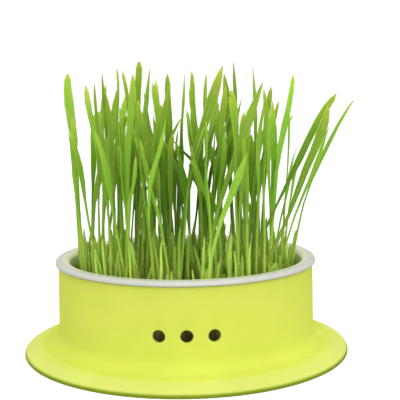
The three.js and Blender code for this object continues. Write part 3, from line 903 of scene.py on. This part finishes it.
def leaf_material():
    material, tree = new_material(
        "wheat leaf", Subsurface_Weight=0.35, Subsurface_Radius=(0.0016, 0.0028, 0.0006), Subsurface_Scale=1.0,
        Specular_IOR_Level=0.12)
    place = object_place(tree)
    height = axes_of(tree, place)[2]
    u, v, _ = axes_of(tree, add_node(tree, "ShaderNodeTexCoord").outputs["UV"])
    tone, dry, shade, young = (
        add_node(tree, "ShaderNodeAttribute", attribute_name=mark).outputs["Fac"] for mark in LEAF_MARKS)

    fresh = add_mix(tree, add_range(tree, height, 0.042, 0.100), SHEATH_GREEN, FRESH_GREEN)
    lighter = add_mix(tree, add_range(tree, v, 0.62, 1.0), fresh, TIP_GREEN)
    # Painted shade: leaves of the inner clumps are painted darker at mid height, less near the soil.
    sheaths = add_range(tree, height, 0.052, 0.085, 0.4, 1.0)
    tops = add_range(tree, height, 0.104, 0.141, 0.88, 0.0)
    in_painted_shade = add_mix(tree, add_product(tree, shade, sheaths, tops), lighter, SHADE_GREEN)
    paled = add_mix(tree, add_product(tree, young, 0.4), in_painted_shade, SHOOT_GREEN)
    toned = add_node(tree, "ShaderNodeHueSaturation", {
        "Hue": add_math(tree, "MULTIPLY_ADD", tone, 0.012, 0.497),
        "Value": add_math(tree, "MULTIPLY_ADD", tone, 0.36, 1.0), "Color": paled}).outputs[0]

    ribs = add_math(tree, "SINE", add_product(tree, u, math.tau * VEINS))
    streaks = add_noise(tree, add_axes(tree, add_product(tree, u, 2.4), v, tone), 9.0, 3.0)
    brightness = add_math(tree, "MULTIPLY_ADD", ribs, 0.035, add_range(tree, streaks, 0.3, 0.7, 0.86, 1.12))
    veined = add_scaled(tree, toned, brightness)

    from_middle = add_math(tree, "ABSOLUTE", add_math(tree, "SUBTRACT", u, 0.5))
    ribbed = add_mix(tree, add_range(tree, from_middle, 0.0, 0.05, 0.3, 0.0), veined, MIDRIB_GREEN)
    margin = add_product(
        tree, add_range(tree, from_middle, 0.41, 0.5), add_range(tree, height, 0.07, 0.11, 0.0, 0.6))
    edged = add_mix(tree, margin, ribbed, MARGIN_YELLOW)
    dried = add_mix(tree, add_product(tree, dry, add_range(tree, v, 0.72, 0.95)), edged, DRY_YELLOW)
    tipped = add_mix(tree, add_product(tree, dry, add_range(tree, v, 0.955, 1.0, 0.0, 0.8)), dried, BURNT_BROWN)
    # Painted glints: pale dots for water drops, low on the leaves.
    dew_glints = add_product(
        tree, add_range(tree, add_cells(tree, place, 250.0), 0.12, 0.07), add_range(tree, height, 0.080, 0.074))
    connect(tree, {
        "Base Color": add_mix(tree, dew_glints, tipped, DEW_GLINT), "Normal": add_bump(tree, ribs, 0.35, 0.00006),
        "Roughness": add_range(tree, streaks, 0.3, 0.7, 0.42, 0.58)})
    return material


LEAF = leaf_material()

# %% [markdown]
# ## One blade to copy
# Every leaf is a copy of one blade: a six-sided prism, cut into rings by subdividing its long edges. Six sides make a
# lens-like section, two sharp edges with a crowned face between them. In the UV map, u goes across the blade and v
# along it. A copy is then laid ring by ring along its leaf's curve, round at the stalk, and flat and hollowed above.

# %% Blade template
RINGS = 11
STALK_SHARE = 0.35  # up to this share of its length a leaf is a round stalk, without sharp edges


def blade_template():
    blade = bmesh.new()
    bmesh.ops.create_cone(blade, cap_ends=True, segments=6, radius1=1, radius2=1, depth=1)
    corners_to_x = Matrix.Rotation(math.radians(30), 3, "Z")
    bmesh.ops.rotate(blade, cent=(0, 0, 0), matrix=corners_to_x, verts=blade.verts[:])
    bmesh.ops.translate(blade, vec=(0, 0, 0.5), verts=blade.verts[:])
    long_edges = [edge for edge in blade.edges if abs(edge.verts[0].co.z - edge.verts[1].co.z) > 0.5]
    bmesh.ops.subdivide_edges(blade, edges=long_edges, cuts=RINGS - 2, use_grid_fill=True)
    smooth(blade)
    uv_map = blade.loops.layers.uv.new("blade")
    for face in blade.faces:
        for loop in face.loops:
            loop[uv_map].uv = (0.5 + 0.5 * loop.vert.co.x, loop.vert.co.z)
    for edge in blade.edges:
        at_side = all(abs(vert.co.y) < 0.01 for vert in edge.verts)
        edge.smooth = not (at_side and min(vert.co.z for vert in edge.verts) > STALK_SHARE)
    return to_mesh(blade, "blade template")


BLADE = blade_template()
BLADE_CORNERS = np.array([vert.co for vert in BLADE.vertices])
BLADE_RINGS = np.rint(BLADE_CORNERS[:, 2] * (RINGS - 1)).astype(int)
print("blade template:", len(BLADE.polygons), "faces")

# %% [markdown]
# For each kind of leaf a short table says what a ring is like: how far along the leaf it is, its width as a share of
# the full width, its thickness in millimetres, and how flat it is, from 0 for a round stalk to 1 for a blade. A blunt
# tip keeps its width longer: the first leaf of a wheat plant ends like that.

# %% Leaf forms
FORMS = {
    "plant": [
        (0, 0.52, 1.8, 0), (0.12, 0.46, 1.5, 0), (0.26, 0.42, 1.3, 0), (0.4, 0.42, 1.1, 0.1),
        (0.52, 0.54, 0.75, 0.6), (0.63, 0.84, 0.48, 1), (0.73, 1, 0.4, 1), (0.83, 0.93, 0.36, 1),
        (0.91, 0.73, 0.32, 1), (0.965, 0.47, 0.28, 1), (1, 0.05, 0.2, 1)],
    "side": [
        (0, 0.4, 1.2, 0), (0.08, 0.42, 1, 0.3), (0.18, 0.66, 0.7, 0.8), (0.3, 0.9, 0.45, 1), (0.43, 1, 0.4, 1),
        (0.56, 1, 0.38, 1), (0.69, 0.95, 0.36, 1), (0.8, 0.82, 0.34, 1), (0.9, 0.58, 0.3, 1),
        (0.96, 0.33, 0.26, 1), (1, 0.04, 0.2, 1)],
    "shoot": [
        (0, 1, 2.0, 0), (0.12, 1, 1.9, 0), (0.25, 0.98, 1.8, 0), (0.38, 0.96, 1.7, 0), (0.5, 0.92, 1.6, 0),
        (0.62, 0.86, 1.45, 0), (0.74, 0.76, 1.3, 0.1), (0.84, 0.64, 1.1, 0.2), (0.92, 0.48, 0.85, 0.3),
        (0.97, 0.30, 0.6, 0.3), (1, 0.06, 0.2, 0.3)],
}
UNEVENNESS = 0.18  # how much a blade's width comes and goes
SWAY = 0.9  # how far a blade wavers from its curve, in millimetres
CURL = 0.5  # how far a blade turns to and fro, in radians
BLUNT_PLANTS = (0, 8, 18)  # outline plants with a blunt first leaf
BLUNT = {7: 1.2, 8: 1.6, 9: 2.2, 10: 7.0}  # how much wider these rings are on a blunt tip
TIP_SHARE = 0.65  # from this share of the length on, tips differ in how slender they are


def lay_blade(leaf, blunt, slender, hollow, phase):
    """Where the template's corners go on this leaf. Each wave is a sine with the leaf's own phase."""
    shares, widths, thicknesses, flatness = np.array(FORMS[leaf.kind], float).T
    widths = widths ** np.where(shares > TIP_SHARE, 1.0 if blunt else slender, 1.0)
    widths = widths * (1 + UNEVENNESS * np.sin(phase + 17 * shares) * np.minimum(1, 3 * shares))
    for ring, factor in BLUNT.items():
        widths[ring] *= factor if blunt else 1
    blade = leaf.kind != "shoot"
    wide = across(leaf, shares, CURL * np.sin(phase + 8 * shares) * shares * blade)
    thick = np.cross(wide, tangents(leaf.curve, shares))
    sway = SWAY * (1.0 if blade else 0.3) * shares
    middle = along(leaf.curve, shares) + wide * (sway * np.sin(2 * phase + 11 * shares))[:, None]
    middle = middle + thick * (sway * np.sin(3 * phase + 9 * shares))[:, None]
    ring = BLADE_RINGS
    x, y = BLADE_CORNERS[:, 0], BLADE_CORNERS[:, 1] / math.sin(math.pi / 3)
    half_width = leaf.width * widths[ring] / 2
    sideways = x * half_width
    inwards = hollow * half_width * (1 - np.abs(x)) * flatness[ring]
    outwards = y * thicknesses[ring] / 2 - inwards
    return middle[ring] + wide[ring] * sideways[:, None] + thick[ring] * outwards[:, None]


# %% [markdown]
# ## Seeds and roots
# Between the stalks the bed shows what the wheat grew from: grains, and a felt of pale rootlets over each clump. A
# grain is a small sphere drawn out and creased along one side. A clump is a low dome with a rough crown.

# %% Seed and root finishes
HUSK_DARK = (0.16, 0.085, 0.028, 1)
HUSK_PALE = (0.46, 0.30, 0.12, 1)
HUSK_BROWN = (0.30, 0.20, 0.09, 1)
FELT_DARK = (0.055, 0.10, 0.008, 1)
FELT_GREEN = (0.14, 0.22, 0.02, 1)
ROOTLET = (0.56, 0.50, 0.34, 1)


def husk_material():
    material, tree = new_material("grain husk", Specular_IOR_Level=0.35)
    place = object_place(tree)
    fibres = add_noise(tree, place, 700.0, 4.0)
    tint = add_range(tree, add_noise(tree, place, 120.0, 1.0), 0.35, 0.65)
    connect(tree, {
        "Base Color": add_mix(tree, tint, add_mix(tree, fibres, HUSK_DARK, HUSK_PALE), HUSK_BROWN),
        "Roughness": add_range(tree, fibres, 0.3, 0.7, 0.5, 0.75), "Normal": add_bump(tree, fibres, 0.5, 0.0002)})
    return material


def root_material():
    material, tree = new_material("root felt", Specular_IOR_Level=0.25)
    place = object_place(tree)
    patches = add_noise(tree, place, 90.0)
    lace = add_range(tree, add_cells(tree, place, 480.0, "DISTANCE_TO_EDGE"), 0.02, 0.11, 1.0, 0.0)
    thin = add_product(tree, lace, add_range(tree, patches, 0.42, 0.6, 0.25, 1.0))
    connect(tree, {
        "Base Color": add_mix(tree, thin, add_mix(tree, patches, FELT_DARK, FELT_GREEN), ROOTLET),
        "Roughness": add_range(tree, thin, 0.0, 1.0, 0.9, 0.6), "Normal": add_bump(tree, lace, 0.7, 0.0003)})
    return material


HUSK = husk_material()
ROOTS = root_material()

# %% Seed and clump shapes
GRAIN_SIZE = (1.35, 3.1, 1.25)  # half sizes of a grain
CREASE = 0.62  # what is left of a grain's height in its crease
CLUMP_PROFILE = [
    (0, CLUMP_FOOT, 0), (CLUMP_RADIUS, CLUMP_FOOT, 0), (CLUMP_RADIUS, 38.0, 0), (8.1, 39.1, 0), (7.4, 39.9, 0),
    (6.2, 40.3, 0), (4.8, 40.5, 0), (3.2, CLUMP_CROWN, 0), (1.6, CLUMP_CROWN, 0), (0, CLUMP_CROWN, 0),
]


def template(shape, name, material_index):
    """A mesh to copy, whose faces show the tuft's material of this number."""
    smooth(shape)
    for face in shape.faces:
        face.material_index = material_index
    return to_mesh(shape, name)


def grain_shape():
    grain = bmesh.new()
    bmesh.ops.create_uvsphere(grain, u_segments=8, v_segments=6, radius=1)
    for vert in grain.verts:
        if abs(vert.co.x) < 0.1 < vert.co.z:
            vert.co.z *= CREASE
    bmesh.ops.rotate(grain, cent=(0, 0, 0), matrix=Matrix.Rotation(math.pi / 2, 3, "X"), verts=grain.verts[:])
    bmesh.ops.scale(grain, vec=GRAIN_SIZE, verts=grain.verts[:])
    return grain


GRAIN = template(grain_shape(), "grain template", 1)
CLUMP = template(turned(CLUMP_PROFILE, steps=24), "clump template", 2)
print("grain:", len(GRAIN.polygons), "faces, clump:", len(CLUMP.polygons), "faces")


def add_copy(shape, mesh):
    """Adds a copy of a template mesh, and gives back its corners."""
    start = len(shape.verts)
    shape.from_mesh(mesh)
    shape.verts.ensure_lookup_table()
    return shape.verts[start:]


# %% [markdown]
# ## The 36 tufts
# Each tuft is one piece: its clump, a few grains, and its leaves. The fine leaves stand on the curves found above.

# %% Tufts
GRAINS_PER_TUFT = 9
GRAIN_HEIGHT = 40.3  # of a grain in the middle of its clump
DOME = 38.5  # above this height a clump is rough
DARK_RADIUS = 60.0  # the stand's shade ends at this distance from the axis
BLUNT_SHARE = 0.07  # of the plants that don't make the outline
LOOKS_SEED = 5


def grain_lie(centre, looks):
    """Where a grain lies on its clump, as a matrix."""
    reach, angle = (CLUMP_RADIUS - 0.4) * math.sqrt(looks.random()), looks.uniform(0, math.tau)
    turn, tilt = looks.uniform(0, math.tau), looks.uniform(-0.35, 0.35)
    spot = centre + Vector((reach * math.cos(angle), reach * math.sin(angle), GRAIN_HEIGHT - 0.012 * reach**2))
    return Matrix.Translation(spot) @ (Matrix.Rotation(turn, 4, "Z") @ Matrix.Rotation(tilt, 4, "X"))


def make_tuft(number, looks):
    shape = bmesh.new()
    layers = [shape.verts.layers.float.new(mark) for mark in LEAF_MARKS]
    centre = Vector((*TUFT_CENTRES[number], 0))
    for vert in add_copy(shape, CLUMP):
        lift = 0.5 * noise.noise((vert.co + centre) * 0.6) - 0.4 if vert.co.z > DOME else 0
        vert.co += centre + Vector((0, 0, lift))
    for _ in range(GRAINS_PER_TUFT):
        lie = grain_lie(centre, looks)
        for vert in add_copy(shape, GRAIN):
            vert.co = lie @ vert.co

    # Painted shade: the nearer a clump is to the axis, the darker its leaves are painted.
    shade = 1 - min(1, math.hypot(centre.x, centre.y) / DARK_RADIUS) ** 1.4
    for order, leaf in enumerate(stand.leaves):
        if leaf.tuft != number:
            continue
        tone, dry = looks.uniform(-1, 1), max(0, looks.uniform(-1.6, 0.9))
        blunt, hollow = looks.random() < BLUNT_SHARE, looks.uniform(0.05, 0.3)
        phase, slender = looks.uniform(0, math.tau), looks.uniform(0.6, 1.4)
        young = leaf.kind == "shoot"
        blunt = order in BLUNT_PLANTS if order < len(OUTLINE_PLANTS) else blunt and not young
        for vert, place in zip(add_copy(shape, BLADE), lay_blade(leaf, blunt, slender, hollow, phase)):
            vert.co = place
            for layer, value in zip(layers, (tone, dry, shade, young)):
                vert[layer] = value
    name = f"{number + 1:02d}"
    return make_piece(f"wheat_{name}", shape, [LEAF, HUSK, ROOTS], "wheat_leaf", f"grass_tuft_{name}")


looks = random.Random(LOOKS_SEED)
tufts = [make_tuft(number, looks) for number in TUFTS]
print("tufts:", len(tufts), "faces:", sum(len(tuft.data.polygons) for tuft in tufts))

# %% [markdown]
# ## The studio
# A pale floor, a white room that is brighter overhead than at the horizon, and two large soft lights: one above, one
# low in front. The room looks pure white to the camera, but lights the pot less, so that the wall's sides are darker.

# %% Floor, room and lights
ROOM_LOW = 0.66  # the light of the room near the horizon
ROOM_HIGH = 1.0  # and overhead
ROOM_SEEN = 1.05  # as the camera sees it
FLOOR_SEEN = 0.65  # the floor's own light in the camera's eye
FLOOR_DIM = (0.60, 0.60, 0.60, 1)
FLOOR_PALE = (0.64, 0.64, 0.64, 1)
WHITE = (1, 1, 1, 1)


def seen_by_camera(tree):
    """1 where the camera looks at something itself, 0 where light bounces."""
    return add_node(tree, "ShaderNodeLightPath").outputs["Is Camera Ray"]


def pale_floor():
    shape = bmesh.new()
    bmesh.ops.create_grid(shape, x_segments=2, y_segments=2, size=12)
    floor = link_object("floor", to_mesh(shape, "floor"))
    material, tree = new_material("pale floor", Roughness=0.9, Specular_IOR_Level=0.1, Emission_Color=WHITE)
    connect(tree, {
        "Base Color": add_mix(tree, add_noise(tree, object_place(tree), 3.0), FLOOR_DIM, FLOOR_PALE),
        "Emission Strength": add_range(tree, seen_by_camera(tree), 0.0, 1.0, 0.0, FLOOR_SEEN)})
    floor.data.materials.append(material)


def white_room():
    world = bpy.data.worlds.new("white room")
    world.use_nodes = True
    tree = world.node_tree
    background = tree.nodes["Background"].inputs
    background["Color"].default_value = WHITE
    upwards = axes_of(tree, add_node(tree, "ShaderNodeTexCoord").outputs["Generated"])[2]
    glow = add_range(tree, upwards, 0.1, 0.8, ROOM_LOW, ROOM_HIGH)
    seen = seen_by_camera(tree)
    lit = add_product(tree, glow, add_math(tree, "SUBTRACT", 1.0, seen))
    tree.links.new(add_math(tree, "MULTIPLY_ADD", seen, ROOM_SEEN, lit), background["Strength"])
    bpy.context.scene.world = world


def soft_light(name, place, aim, size, watts):
    light = bpy.data.lights.new(name, "AREA")
    light.shape = "DISK"
    light.size = size
    light.energy = watts
    lamp = link_object(name, light)
    lamp.location = place
    lamp.rotation_euler = (Vector(aim) - Vector(place)).to_track_quat("-Z", "Y").to_euler()
    lamp.visible_camera = False


pale_floor()
white_room()
soft_light("high light", place=(0.05, -0.1, 1.5), aim=(0, 0, 0.05), size=1.2, watts=2.8)
soft_light("front light", place=(0.14, -1.5, 0.5), aim=(0, 0, 0.06), size=2.4, watts=18.5)
bpy.context.scene.view_settings.view_transform = "Standard"
